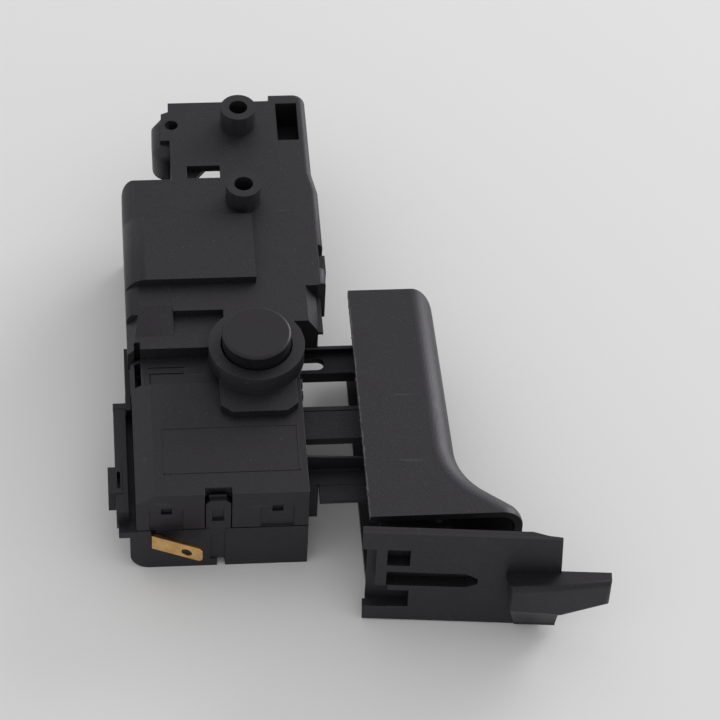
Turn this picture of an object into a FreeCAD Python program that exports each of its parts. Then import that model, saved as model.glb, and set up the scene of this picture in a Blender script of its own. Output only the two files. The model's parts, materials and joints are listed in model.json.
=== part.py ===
import FreeCAD, Part
import math
import os
import re
import Sketcher

App = FreeCAD

# Trigger switch of a rotary hammer's D-handle, lying on its side, in millimetres.
# The origin is the foot of the lock button's axis on the plane that the switch rests on.
# +X points from the switch case to the trigger, +Y to the screw posts, +Z out of the lock button.

SIZES = {
    # switch case: two shells that meet at the parting plane
    "case_right": 9.9,
    "case_width": 38.7,
    "case_front": -38.4,
    "case_depth": 41.9,
    "case_height": 25.5,
    "parting": 13.3,
    "case_wall": 1.6,
    "roof_thick": 3.2,
    "floor_thick": 2.0,
    "raised_length": 33.0,
    "rear_step": 1.0,
    "bevel_width": 4.2,
    "bevel_drop": 3.0,
    "clip_slot_wall": 0.9,
    "clip_slot_width": 1.4,
    "hook_left": -25.0,
    "hook_width": 8.6,
    "hook_rear": 0.1,
    "hook_step": 1.9,
    "hook_line": 0.35,
    "base_bulge": 1.4,
    "base_round": 4.5,
    # snap latch in the middle of the front wall
    "latch_left": -13.2,
    "latch_width": 5.6,
    "latch_rise": 9.9,
    "latch_thick": 1.0,
    "latch_gap": 0.25,
    "bar_rise": 1.1,
    "slot_depth": 2.1,
    "slit_rise": 0.35,
    # marks moulded in the front wall
    "panel_width": 7.5,
    "panel_rise": 6.8,
    "panel_depth": 0.4,
    "pit_width": 2.4,
    "pit_rise": 2.6,
    "pit_depth": 1.2,
    "panel_left": -25.8,
    "panel_right": -0.9,
    "seam_rise": 0.3,
    "seam_depth": 0.5,
    "strip_depth": 0.35,
    "foot_notch": 2.4,
    # contacts
    "brass_thick": 0.8,
    "contact_top": 8.1,
    "contact_width": 4.0,
    "contact_gap": 0.1,
    "front_pole": -23.0,
    "rear_pole": -2.6,
    "line_left": -22.0,
    "line_length": 9.0,
    "load_left": -8.0,
    "load_length": 12.0,
    "foot_length": 4.2,
    "bridge_left": -9.0,
    "bridge_length": 10.0,
    "clamp_radius": 1.5,
    "clamp_height": 2.4,
    # blade terminal on the front wall
    "tab_root": -25.4,
    "tab_reach": 11.4,
    "tab_start": 0.9,
    "tab_bend": 2.6,
    "tab_lean": 1.9,
    "tab_end": 5.2,
    "tab_top": 12.6,
    "tab_width": 4.5,
    "tab_hole": 1.15,
    "tab_clip": 0.9,
    # plunger: the middle arm and the block inside the case
    "arm_front": -15.0,
    "arm_width": 9.7,
    "arm_top": 15.5,
    "arm_thick": 2.1,
    "arm_end": 26.0,
    "block_left": -8.2,
    "block_right": 7.0,
    "block_low": 9.6,
    "wing_left": -6.0,
    "wing_length": 4.0,
    "wing_low": 11.9,
    "wing_thick": 2.5,
    "catch_left": 2.6,
    "catch_top": 17.4,
    "slide_gap": 0.3,
    "bed_gap": 0.1,
    # springs
    "coil_radius": 2.7,
    "coil_wire": 0.7,
    "coil_turns": 8.5,
    "spigot_radius": 2.0,
    "spigot_length": 2.5,
    "pad_coil_radius": 1.2,
    "pad_coil_wire": 0.35,
    "pad_coil_turns": 3.5,
    "lock_coil_radius": 4.4,
    "lock_coil_wire": 0.8,
    "lock_coil_turns": 3.5,
    # lower guide rail, fixed to the case
    "rail_front": -34.8,
    "rail_width": 8.6,
    "rail_top": 18.0,
    "rail_thick": 1.3,
    "rail_end": 27.0,
    "rail_web_rise": 4.8,
    "rail_web_fall": 1.3,
    "rail_web_thick": 0.6,
    "rail_step": 0.3,
    "collar_thick": 2.7,
    "collar_width": 4.9,
    "collar_low": 5.9,
    # upper guide arm
    "guide_front": 5.7,
    "guide_width": 8.5,
    "guide_top": 14.4,
    "guide_height": 3.2,
    "guide_lip": 1.05,
    "guide_sink": 1.6,
    "guide_start": -4.0,
    "guide_slot": 3.4,
    "guide_slot_end": 16.7,
    # trigger shell
    "trigger_left": 22.4,
    "trigger_back": 19.3,
    "trigger_front": -48.0,
    "trigger_low": 4.0,
    "trigger_high": 28.0,
    "finger_back": 42.0,
    "finger_front": 43.4,
    "flare_start": -34.8,
    "flare_reach": 56.7,
    "trigger_wall": 1.8,
    "rear_wall_setback": 2.8,
    "trigger_travel": 6.0,
    "finger_round": 5.0,
    "corner_round": 4.5,
    "flare_round": 16.0,
    "flare_tip_round": 5.4,
    "flare_tip_flat": 0.17,
    # end shield with its nose, in its own slanted frame
    "shield_x": 21.2,
    "shield_y": -55.2,
    "shield_low": 0.5,
    "shield_slant": 5.0,
    "shield_length": 43.3,
    "shield_top": 31.4,
    "shield_thick": 2.0,
    "shield_lean": 1.0,
    "shield_taper": 7.0,
    "shield_edge": 0.5,
    "pocket_depth": 2.8,
    "block_length": 27.0,
    "block_depth": 4.4,
    "block_base": 3.5,
    "block_top": 26.0,
    "plug_length": 15.0,
    "plug_depth": 11.0,
    "plug_top": 22.0,
    "nose_start": 31.2,
    "nose_foot": 34.1,
    "nose_knee": 42.0,
    "nose_end": 54.5,
    "nose_depth": 5.0,
    "nose_tip_depth": 2.9,
    "nose_top": 19.2,
    "nose_tip_top": 19.9,
    "nose_low": 1.5,
    "nose_step_low": 8.6,
    "nose_tip_low": 12.1,
    "nose_face_low": 11.7,
    "nose_lip_depth": 1.0,
    "nose_lip": 2.2,
    "nose_round": 1.2,
    # side bracket on the left
    "shelf_thick": 2.0,
    "shelf_reach": 3.9,
    "upright_left": -33.1,
    "upright_thick": 2.8,
    "upright_top": 17.0,
    "upright_front": -35.7,
    "upright_back": -3.8,
    "tongue_thick": 1.2,
    "tongue_back": 12.9,
    "clip_left": -34.8,
    "clip_width": 3.2,
    "clip_front": -30.3,
    "clip_length": 7.6,
    "clip_low": 11.0,
    "clip_slot": 0.7,
    # mounting cover
    "cover_top": 29.7,
    "cover_low": 20.0,
    "cover_left": -29.4,
    "cover_front": 3.2,
    "cover_plate": 2.0,
    "cover_wall": 1.6,
    "wide_back": 55.2,
    "wide_right": 17.4,
    "narrow_left": -17.3,
    "narrow_right": 16.2,
    "narrow_back": 81.05,
    "back_step": 2.7,
    "shoulder_front": 8.8,
    "shoulder_back": 19.8,
    "shoulder_right": 14.9,
    "shoulder_bevel": 2.4,
    "cover_round": 3.0,
    "cover_edge_round": 1.5,
    "seat_depth": 1.9,
    "seat_back": 13.0,
    "seat_chamfer": 1.9,
    "seat_right": -7.0,
    "seat_left": -18.6,
    "ear_reach": 2.3,
    "ear_front": 68.3,
    "ear_length": 9.0,
    "ear_hole": 1.6,
    "lobe_reach": 4.2,
    "lobe_front": 64.2,
    "lobe_back": 78.6,
    "lobe_slant": 3.0,
    "lobe_top": 28.6,
    "lobe_corner_round": 3.9,
    "lobe_round": 3.0,
    "window_left": -13.5,
    "window_width": 7.9,
    "window_length": 4.1,
    "well_left": 8.9,
    "well_width": 5.2,
    "well_front": 67.5,
    "well_length": 12.6,
    "well_floor": 21.5,
    "pad_right": 1.1,
    "pad_front": 21.1,
    "pad_length": 20.3,
    "pad_rise": 2.05,
    "pad_round": 5.0,
    "post_radius": 4.25,
    "post_bore": 2.25,
    "post_rise": 5.6,
    "post_x": -0.5,
    "near_post": 47.8,
    "far_post": 73.5,
    # rear housing below the cover
    "housing_gap": 0.3,
    "hook_reach": 0.4,
    "hook_front": 25.8,
    "hook_length": 5.2,
    "hook_rise": 7.5,
    "notch_front": 25.2,
    "notch_length": 7.5,
    "notch_depth": 1.2,
    "skirt_rise": 5.2,
    "skirt_back": 24.9,
    "corner_foot_drop": 2.7,
    "corner_foot_depth": 2.4,
    # lock-on button
    "button_radius": 7.9,
    "button_top": 36.2,
    "button_height": 5.5,
    "button_skin": 1.8,
    "button_wall": 1.5,
    "button_round": 0.7,
    "ring_radius": 11.0,
    "ring_height": 4.8,
    "ring_gap": 0.3,
    "base_plate_half": 8.8,
    "base_plate_thick": 2.0,
    "base_plate_back": 7.0,
    "base_plate_front": -16.1,
    "base_plate_clip": 2.6,
    "pin_radius": 1.5,
    "pin_low": 18.2,
    # suppressor capacitor in the rear housing
    "capacitor_left": -22.0,
    "capacitor_width": 18.0,
    "capacitor_front": 30.0,
    "capacitor_length": 10.0,
    "capacitor_height": 14.0,
    "lead_radius": 0.4,
    "lead_length": 12.0,
    "lead_spacing": 10.0,
}

doc = App.newDocument("trigger_switch")
sheet = doc.addObject("Spreadsheet::Sheet", "Sizes")
for row, (word, number) in enumerate(SIZES.items(), start=1):
    sheet.set(f"A{row}", word)
    sheet.set(f"B{row}", str(number))
    sheet.setAlias(f"B{row}", word)
doc.recompute()

# lines and planes that several pieces share
CASE_LEFT = "(case_right - case_width)"
CASE_REAR = "(case_front + case_depth)"
STEP_LINE = "(case_front + raised_length)"
REAR_TOP = "(case_height - rear_step)"
ARM_BACK = "(arm_front + arm_width)"
ARM_LOW = "(arm_top - arm_thick)"
ARM_MID = "(arm_front + arm_width / 2)"
COIL_LEVEL = "((block_low + arm_top) / 2)"
CONTACT_LOW = "(contact_top - brass_thick)"
BRIDGE_LOW = "(contact_top + contact_gap)"
HOUSING_FRONT = "(case_front + case_depth + housing_gap)"
PLATE_TOP = "(case_height + base_plate_thick)"
GUIDE_LOW = "(guide_top - guide_height)"
COVER_UNDER = "(cover_top - cover_plate)"
BUTTON_LOW = "(button_top - button_height)"
BUTTON_INSIDE = "(button_top - button_skin)"
PIN_MID = "(0 - pin_radius / 3)"
SHELF_LOW = "(parting - shelf_thick)"
THROUGH = 1.0
# the flare's slanted side is the tangent from the finger side's end to the round of the flare's tip
FLARE_RUN = "(flare_reach - flare_tip_round - finger_front)"
FLARE_DROP = "(flare_start - trigger_front - flare_tip_flat)"
FLARE_SPAN = f"sqrt({FLARE_RUN} ^ 2 + {FLARE_DROP} ^ 2 - flare_tip_round ^ 2)"
FLARE_SLOPE = (f"(({FLARE_DROP} ^ 2 - flare_tip_round ^ 2)"
               f" / ({FLARE_RUN} * {FLARE_DROP} + flare_tip_round * {FLARE_SPAN}))")
FLARE_END = f"(flare_start - {FLARE_SLOPE} * (flare_reach - finger_front))"


def value(word):
    return float(sheet.get(word))


def spell(formula):
    """Turn the words of a formula into cells of the sheet."""
    return re.sub(r"\b[a-z_]{3,}\b(?!\()", lambda word: f"Sizes.{word.group()}", str(formula))


def link(item, setting, formula):
    item.setExpression(setting, spell(formula))


def box(name, x, y, z):
    item = doc.addObject("Part::Box", name)
    spans = (("Length", "x", x), ("Width", "y", y), ("Height", "z", z))
    for setting, axis, (low, high) in spans:
        link(item, setting, f"({high}) - ({low})")
        link(item, f"Placement.Base.{axis}", low)
    return item


def rod(name, centre, radius, span, along="z"):
    """A cylinder along one axis; centre holds the two other coordinates, in X, Y, Z order."""
    item = doc.addObject("Part::Cylinder", name)
    low, high = span
    turns = {
        "x": App.Rotation(App.Vector(0, 1, 0), 90),
        "y": App.Rotation(App.Vector(1, 0, 0), -90),
        "z": App.Rotation(),
    }
    item.Placement = App.Placement(App.Vector(), turns[along])
    link(item, "Radius", radius)
    link(item, "Height", f"({high}) - ({low})")
    across = [axis for axis in "xyz" if axis != along]
    for axis, place in zip(across, centre):
        link(item, f"Placement.Base.{axis}", place)
    link(item, f"Placement.Base.{along}", low)
    return item


def prism(name, plane, corners, span):
    """A body padded from an outline of straight lines on one of its origin planes."""
    body = doc.addObject("PartDesign::Body", name)
    sketch = body.newObject("Sketcher::SketchObject", f"{name}_outline")
    role = f"{plane}_Plane"
    support = [face for face in body.Origin.OriginFeatures if face.Role == role][0]
    sketch.AttachmentSupport = (support, [""])
    sketch.MapMode = "FlatFace"
    low, high = span
    start = f"-({high})" if plane == "XZ" else low
    link(sketch, "AttachmentOffset.Base.z", start)
    count = len(corners)
    reach = value("case_width")
    ring = [App.Vector(reach * math.cos(2 * math.pi * i / count), reach * math.sin(2 * math.pi * i / count), 0)
            for i in range(count)]
    for i in range(count):
        sketch.addGeometry(Part.LineSegment(ring[i], ring[(i + 1) % count]), False)
    for i in range(count):
        sketch.addConstraint(Sketcher.Constraint("Coincident", i, 2, (i + 1) % count, 1))
    for i, (across, up) in enumerate(corners):
        number = sketch.addConstraint(Sketcher.Constraint("DistanceX", -1, 1, i, 1, ring[i].x))
        link(sketch, f"Constraints[{number}]", across)
        number = sketch.addConstraint(Sketcher.Constraint("DistanceY", -1, 1, i, 1, ring[i].y))
        link(sketch, f"Constraints[{number}]", up)
    pad = body.newObject("PartDesign::Pad", f"{name}_pad")
    pad.Profile = sketch
    link(pad, "Length", f"({high}) - ({low})")
    return body


def soften(body, radius, chosen):
    """Round the edges of a body that a test on their middle point picks."""
    doc.recompute()
    base = body.Tip
    edges = [f"Edge{number}" for number, edge in enumerate(base.Shape.Edges, start=1)
             if chosen(edge.CenterOfMass)]
    item = body.newObject("PartDesign::Fillet", f"{body.Name}_round")
    item.Base = (base, edges)
    link(item, "Radius", radius)
    return body


def fuse(name, *pieces):
    item = doc.addObject("Part::MultiFuse", name)
    item.Shapes = list(pieces)
    item.Refine = True
    return item


def cut(name, base, *tools):
    for number, tool in enumerate(tools, start=1):
        item = doc.addObject("Part::Cut", f"{name}_{number}")
        item.Base = base
        item.Tool = tool
        base = item
    return base


def coil(name, radius, wire, turns, length):
    """A helix of round wire about its own Z axis, from its foot up to its length."""
    path = doc.addObject("Part::Helix", f"{name}_path")
    link(path, "Radius", radius)
    link(path, "Height", f"({length}) - ({wire})")
    link(path, "Pitch", f"(({length}) - ({wire})) / ({turns})")
    section = doc.addObject("Part::Circle", f"{name}_section")
    section.Placement = App.Placement(App.Vector(), App.Rotation(App.Vector(1, 0, 0), 90))
    link(section, "Radius", f"({wire}) / 2")
    link(section, "Placement.Base.x", radius)
    item = doc.addObject("Part::Sweep", name)
    item.Sections = [section]
    item.Spine = (path, ["Edge1"])
    item.Solid = True
    item.Frenet = True
    return item


def turn_to_x(item):
    item.Placement = App.Placement(App.Vector(), App.Rotation(App.Vector(0, 1, 0), 90))


def arm_window(name, z):
    """The hole in the case's right wall that the plunger's arm runs through."""
    return box(name, (f"case_right - case_wall - {THROUGH}", f"case_right + {THROUGH}"),
               ("arm_front - slide_gap", f"{ARM_BACK} + slide_gap"), z)


def case_top():
    shell = prism("top_shell", "XZ", [
        (CASE_LEFT, "parting"), ("case_right", "parting"), ("case_right", "case_height"),
        (f"{CASE_LEFT} + bevel_width", "case_height"), (CASE_LEFT, "case_height - bevel_drop"),
    ], ("case_front", CASE_REAR))
    front_in = ("case_front - 1", "case_front + panel_depth")
    tools = [
        box("top_hollow", (f"{CASE_LEFT} + case_wall", "case_right - case_wall"),
            ("case_front + case_wall", f"{CASE_REAR} - case_wall"),
            (f"parting - {THROUGH}", "case_height - roof_thick")),
        box("top_rear_step", (f"{CASE_LEFT} - 1", f"case_right + {THROUGH}"),
            (STEP_LINE, f"{CASE_REAR} + {THROUGH}"), (REAR_TOP, f"case_height + {THROUGH}")),
        box("top_latch_slot", ("latch_left - latch_gap", "latch_left + latch_width + latch_gap"),
            (f"case_front - {THROUGH}", "case_front + slot_depth"),
            (f"parting - {THROUGH}", f"case_height + {THROUGH}")),
        arm_window("top_arm_window", (f"parting - {THROUGH}", "arm_top + slide_gap")),
        box("top_seam", (f"{CASE_LEFT} - {THROUGH}", f"case_right + {THROUGH}"),
            (f"case_front - {THROUGH}", "case_front + seam_depth"), (f"parting - {THROUGH}", "parting + seam_rise")),
        rod("top_pin_hole", ("0", PIN_MID), "pin_radius + slide_gap",
            ("parting", f"case_height + {THROUGH}")),
        box("top_clip_slot", (f"{CASE_LEFT} + clip_slot_wall", f"{CASE_LEFT} + clip_slot_wall + clip_slot_width"),
            (f"{STEP_LINE} + clip_slot_wall", f"{CASE_REAR} - clip_slot_wall"),
            ("case_height - roof_thick * 2", f"case_height + {THROUGH}")),
        box("top_hook_line_rear", ("hook_left", "hook_left + hook_width"), ("hook_rear", "hook_rear + hook_line"),
            (f"{REAR_TOP} - hook_line", f"{REAR_TOP} + {THROUGH}")),
        box("top_hook_line_front", ("hook_left + hook_line", "hook_left + hook_width - hook_line"),
            ("hook_rear - hook_step", "hook_rear - hook_step + hook_line"),
            (f"{REAR_TOP} - hook_line", f"{REAR_TOP} + {THROUGH}")),
        box("top_hook_line_side", ("hook_left + hook_line", "hook_left + hook_line * 2"),
            (f"{STEP_LINE} + hook_line", "hook_rear - hook_step"),
            (f"{REAR_TOP} - hook_line", f"{REAR_TOP} + {THROUGH}")),
    ]
    for side, left in (("a", "panel_left"), ("b", "panel_right")):
        tools.append(box(f"top_panel_{side}", (left, f"{left} + panel_width"), front_in,
                         ("parting + 0.5", "parting + 0.5 + panel_rise")))
        tools.append(box(f"top_pit_{side}", (f"{left} + 2.6", f"{left} + 2.6 + pit_width"),
                         ("case_front - 1", "case_front + pit_depth"),
                         ("parting + 1.1 + panel_rise - pit_rise", "parting + 1.1 + panel_rise")))
    return cut("top", shell, *tools)


def case_base():
    shell = prism("base_shell", "XZ", [
        (CASE_LEFT, "parting"), (CASE_LEFT, SHELF_LOW), (f"{CASE_LEFT} - base_bulge", SHELF_LOW),
        (f"{CASE_LEFT} - base_bulge", "floor_thick - floor_thick"),
        ("case_right", "floor_thick - floor_thick"), ("case_right", "parting"),
    ], ("case_front", CASE_REAR))
    bulge_left = value("case_right") - value("case_width") - value("base_bulge")
    soften(shell, "base_round", lambda middle: middle.z < 0.01 and middle.x < bulge_left + 0.01)
    hollow = box("base_hollow", (f"{CASE_LEFT} + case_wall", "case_right - case_wall"),
                 ("case_front + case_wall", f"{CASE_REAR} - case_wall"),
                 ("floor_thick", f"parting + {THROUGH}"))
    window = arm_window("base_arm_window", (f"{ARM_LOW} - slide_gap", f"parting + {THROUGH}"))
    strip = box("base_strip", ("latch_left + 1.0", "latch_left + latch_width - 1.2"),
                (f"case_front - {THROUGH}", "case_front + strip_depth"), ("foot_notch", "parting + 3"))
    foot = box("base_foot_notch", ("latch_left + 2.6", "latch_left + latch_width - 1.2"),
               (f"case_front - {THROUGH}", "case_front + slot_depth"), ("0 - 1", "foot_notch"))
    tab_slot = box("base_tab_slot", ("tab_root - 0.1", "tab_root + brass_thick + 0.1"),
                   (f"case_front - {THROUGH}", "case_front + case_wall + 0.5"),
                   ("tab_top - tab_width - 0.1", f"parting + {THROUGH}"))
    tray = cut("base_tray", shell, hollow, window, strip, foot, tab_slot)

    latch_right = "latch_left + latch_width"
    latch_top = "parting + latch_rise"
    loop = prism("latch_loop", "XZ", [
        ("latch_left", "parting - 1"), (latch_right, "parting - 1"), (latch_right, f"{latch_top} - 1"),
        (f"{latch_right} - 1", latch_top), ("latch_left + 1", latch_top), ("latch_left", f"{latch_top} - 1"),
    ], ("case_front + 0.1", "case_front + 0.1 + latch_thick"))
    hole = box("latch_hole", ("latch_left + 1.4", f"{latch_right} - 1.6"),
               (f"case_front - {THROUGH}", "case_front + latch_thick * 0.6"),
               ("parting + 3.2", "parting + 6.9"))
    bar = box("latch_bar", ("latch_left + 0.7", f"{latch_right} - 1"),
              ("case_front + latch_thick * 0.9", "case_front + 0.1 + latch_thick"),
              (f"{latch_top} - 0.5", f"{latch_top} + bar_rise"))
    slit = box("latch_slit", ("latch_left + 1.2", f"{latch_right} - 1.3"),
               (f"case_front - {THROUGH}", "case_front + latch_thick * 0.6"),
               ("parting + 2.8", "parting + 2.8 + slit_rise"))
    inside = [cut("latch", loop, hole, slit), bar]
    for pole in ("front_pole", "rear_pole"):
        for side, left, length in (("line", "line_left", "line_length"), ("load", "load_left", "load_length")):
            inside.append(box(f"pillar_{pole}_{side}", (f"{left} + 1.2", f"{left} + {length} - 2"),
                              (f"{pole} + 0.4", f"{pole} + contact_width - 0.4"),
                              ("floor_thick - 0.5", CONTACT_LOW)))
    inside.append(box("plunger_bed", ("block_left - 7", "block_right"),
                      ("arm_front + 2", f"{ARM_BACK} - 2"), ("floor_thick - 0.5", "block_low - bed_gap")))
    inside.append(rod("spring_spigot", (ARM_MID, COIL_LEVEL), "spigot_radius",
                      (f"{CASE_LEFT} + case_wall - 0.4", f"{CASE_LEFT} + case_wall + spigot_length"), "x"))
    top_side = box("spigot_flat", (f"{CASE_LEFT} - 1", f"{CASE_LEFT} + case_wall"),
                   (f"{ARM_MID} - 4", f"{ARM_MID} + 4"), ("parting", "parting + 6"))
    return cut("base", fuse("base_joined", tray, *inside), top_side)


def tongue(name, left, length, pole):
    return box(name, (left, f"{left} + {length}"), (pole, f"{pole} + contact_width"),
               (CONTACT_LOW, "contact_top"))


def front_terminal():
    contact = tongue("tab_tongue", "tab_root", "line_left + line_length - tab_root", "front_pole")
    wall = box("tab_wall", ("tab_root", "tab_root + brass_thick"),
               ("case_front - 0.4", "front_pole + contact_width"), ("tab_top - tab_width", "tab_top"))
    blade = prism("tab_blade", "XY", [
        ("tab_root", "case_front"), ("tab_root", "case_front - tab_start"),
        ("tab_root + tab_bend", "case_front - tab_lean"),
        ("tab_root + tab_reach - 0.2", "case_front - tab_end"),
        ("tab_root + tab_reach", "case_front - tab_end + brass_thick"),
        ("tab_root + tab_bend + brass_thick / 3", "case_front - tab_lean + brass_thick"),
        ("tab_root + brass_thick", "case_front - tab_start + brass_thick"), ("tab_root + brass_thick", "case_front"),
    ], ("tab_top - tab_width", "tab_top"))
    depth = ("case_front - tab_end - brass_thick", "case_front")
    hole = rod("tab_hole_cut", ("tab_root + tab_reach * 0.68", "tab_top - tab_width * 0.6"), "tab_hole", depth, "y")
    tip = "tab_root + tab_reach"
    clips = []
    for name, level, turn in (("upper", "tab_top", "-"), ("lower", "tab_top - tab_width", "+")):
        clips.append(prism(f"tab_clip_{name}", "XZ", [
            (f"{tip} + 1", level), (f"{tip} + 1", f"{level} {turn} tab_clip - 0"),
            (f"{tip}", f"{level} {turn} tab_clip"), (f"{tip} - tab_clip", level),
        ], depth))
    return cut("tab", fuse("tab_joined", contact, wall, blade), hole, *clips)


def screw_contact(name, left, length, pole, outward):
    """A contact tongue with a leg down to the floor and a foot for its clamp screw."""
    if outward > 0:
        leg = (f"{left} + {length} - brass_thick", f"{left} + {length}")
        foot = (f"{left} + {length} - brass_thick", f"{left} + {length} + foot_length")
    else:
        leg = (left, f"{left} + brass_thick")
        foot = (f"{left} - foot_length", f"{left} + brass_thick")
    depth = (pole, f"{pole} + contact_width")
    return fuse(f"{name}_joined", tongue(f"{name}_tongue", left, length, pole),
                box(f"{name}_leg", leg, depth, ("floor_thick", "contact_top")),
                box(f"{name}_foot", foot, depth, ("floor_thick", "floor_thick + brass_thick")))


def terminal_screws():
    load_x = "load_left + load_length + foot_length / 2"
    places = [(load_x, "front_pole"), (load_x, "rear_pole"), ("line_left - foot_length / 2", "rear_pole")]
    low = "floor_thick + brass_thick"
    screws = []
    for number, (x, pole) in enumerate(places):
        head = rod(f"clamp_{number}", (x, f"{pole} + contact_width / 2"), "clamp_radius",
                   (low, f"{low} + clamp_height"))
        slot = box(f"clamp_slot_{number}", (f"{x} - 0.25", f"{x} + 0.25"),
                   (pole, f"{pole} + contact_width"), (f"{low} + clamp_height - 0.6", f"{low} + clamp_height + 1"))
        screws.append(cut(f"clamp_cut_{number}", head, slot))
    group = doc.addObject("Part::Compound", "clamp_screws")
    group.Links = screws
    return group


def plunger():
    arm = box("arm", ("block_right - 4", "arm_end"), ("arm_front", ARM_BACK), (ARM_LOW, "arm_top"))
    block = box("block", ("block_left", "block_right"), ("arm_front", ARM_BACK), ("block_low", "arm_top"))
    wing = box("wing", ("wing_left", "wing_left + wing_length"),
               ("front_pole + 0.2", "rear_pole + contact_width - 0.2"),
               ("wing_low", "wing_low + wing_thick"))
    catch = box("catch", ("catch_left", "block_right"),
                (f"{ARM_BACK} - 1", f"{PIN_MID} - pin_radius - slide_gap"), ("wing_low", "catch_top"))
    spigot = rod("block_spigot", (ARM_MID, COIL_LEVEL), "spigot_radius",
                 ("block_left - spigot_length", "block_left + 1"), "x")
    groove = box("arm_groove", (f"case_right - {THROUGH}", f"arm_end + {THROUGH}"),
                 (f"{ARM_BACK} - 1.5", f"{ARM_BACK} - 1.2"), ("arm_top - 0.3", f"arm_top + {THROUGH}"))
    return cut("plunger_cut", fuse("plunger_joined", arm, block, wing, catch, spigot), groove)


def contact_bridge(name, pole):
    return box(name, ("bridge_left", "bridge_left + bridge_length"),
               (f"{pole} + 0.5", f"{pole} + contact_width - 0.5"), (BRIDGE_LOW, f"{BRIDGE_LOW} + brass_thick"))


def contact_springs():
    springs = []
    top_of_bridge = f"{BRIDGE_LOW} + brass_thick"
    for side in ("front", "rear"):
        item = coil(f"pad_coil_{side}", "pad_coil_radius", "pad_coil_wire", "pad_coil_turns",
                    f"wing_low - ({top_of_bridge})")
        link(item, "Placement.Base.x", "wing_left + wing_length / 2")
        link(item, "Placement.Base.y", f"{side}_pole + contact_width / 2")
        link(item, "Placement.Base.z", f"{top_of_bridge} + pad_coil_wire / 2")
        springs.append(item)
    group = doc.addObject("Part::Compound", "pad_coils")
    group.Links = springs
    return group


def return_spring():
    item = coil("long_coil", "coil_radius", "coil_wire", "coil_turns",
                f"block_left - ({CASE_LEFT} + case_wall)")
    turn_to_x(item)
    link(item, "Placement.Base.x", f"{CASE_LEFT} + case_wall + coil_wire / 2")
    link(item, "Placement.Base.y", ARM_MID)
    link(item, "Placement.Base.z", COIL_LEVEL)
    return item


def lower_guide_rail():
    back = "(rail_front + rail_width)"
    middle = "(rail_front + rail_width / 2)"
    start = "(case_right + collar_thick)"
    under = "(rail_top - rail_thick)"
    web_back = f"{back} + rail_web_thick"
    profile = prism("rail_profile", "YZ", [
        ("rail_front", f"{under} - rail_step"), (middle, f"{under} - rail_step"), (middle, under),
        (web_back, under), (web_back, "rail_top"), (middle, "rail_top"),
        (middle, "rail_top - rail_step"), ("rail_front", "rail_top - rail_step"),
    ], (start, "rail_end"))
    web = prism("rail_web", "XZ", [
        ("case_right", under), ("rail_end", under), ("rail_end", "rail_top + rail_web_rise - rail_web_fall"),
        ("case_right", "rail_top + rail_web_rise"),
    ], (back, web_back))
    collar = box("rail_collar", ("case_right", start), (f"{back} - collar_width + 1", f"{back} + 1"),
                 ("collar_low", "rail_top"))
    return fuse("rail_joined", profile, collar, web)


def upper_guide_arm():
    back = "(guide_front + guide_width)"
    bar = box("guide_bar", ("guide_start", "arm_end"), ("guide_front", back), (GUIDE_LOW, "guide_top"))
    channel = box("guide_channel", (f"guide_start - {THROUGH}", f"arm_end + {THROUGH}"),
                  ("guide_front + guide_lip", f"{back} - guide_lip"),
                  ("guide_top - guide_sink", f"guide_top + {THROUGH}"))
    middle = "(guide_front + guide_width / 2)"
    slot = box("guide_slot_cut", ("guide_slot_end - 12", "guide_slot_end - guide_slot / 2"),
               (f"{middle} - guide_slot / 2", f"{middle} + guide_slot / 2"),
               (f"{GUIDE_LOW} - {THROUGH}", f"guide_top + {THROUGH}"))
    slot_end = rod("guide_slot_round", ("guide_slot_end - guide_slot / 2", middle), "guide_slot / 2",
                   (f"{GUIDE_LOW} - {THROUGH}", f"guide_top + {THROUGH}"))
    return cut("guide", bar, channel, slot, slot_end)


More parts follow.
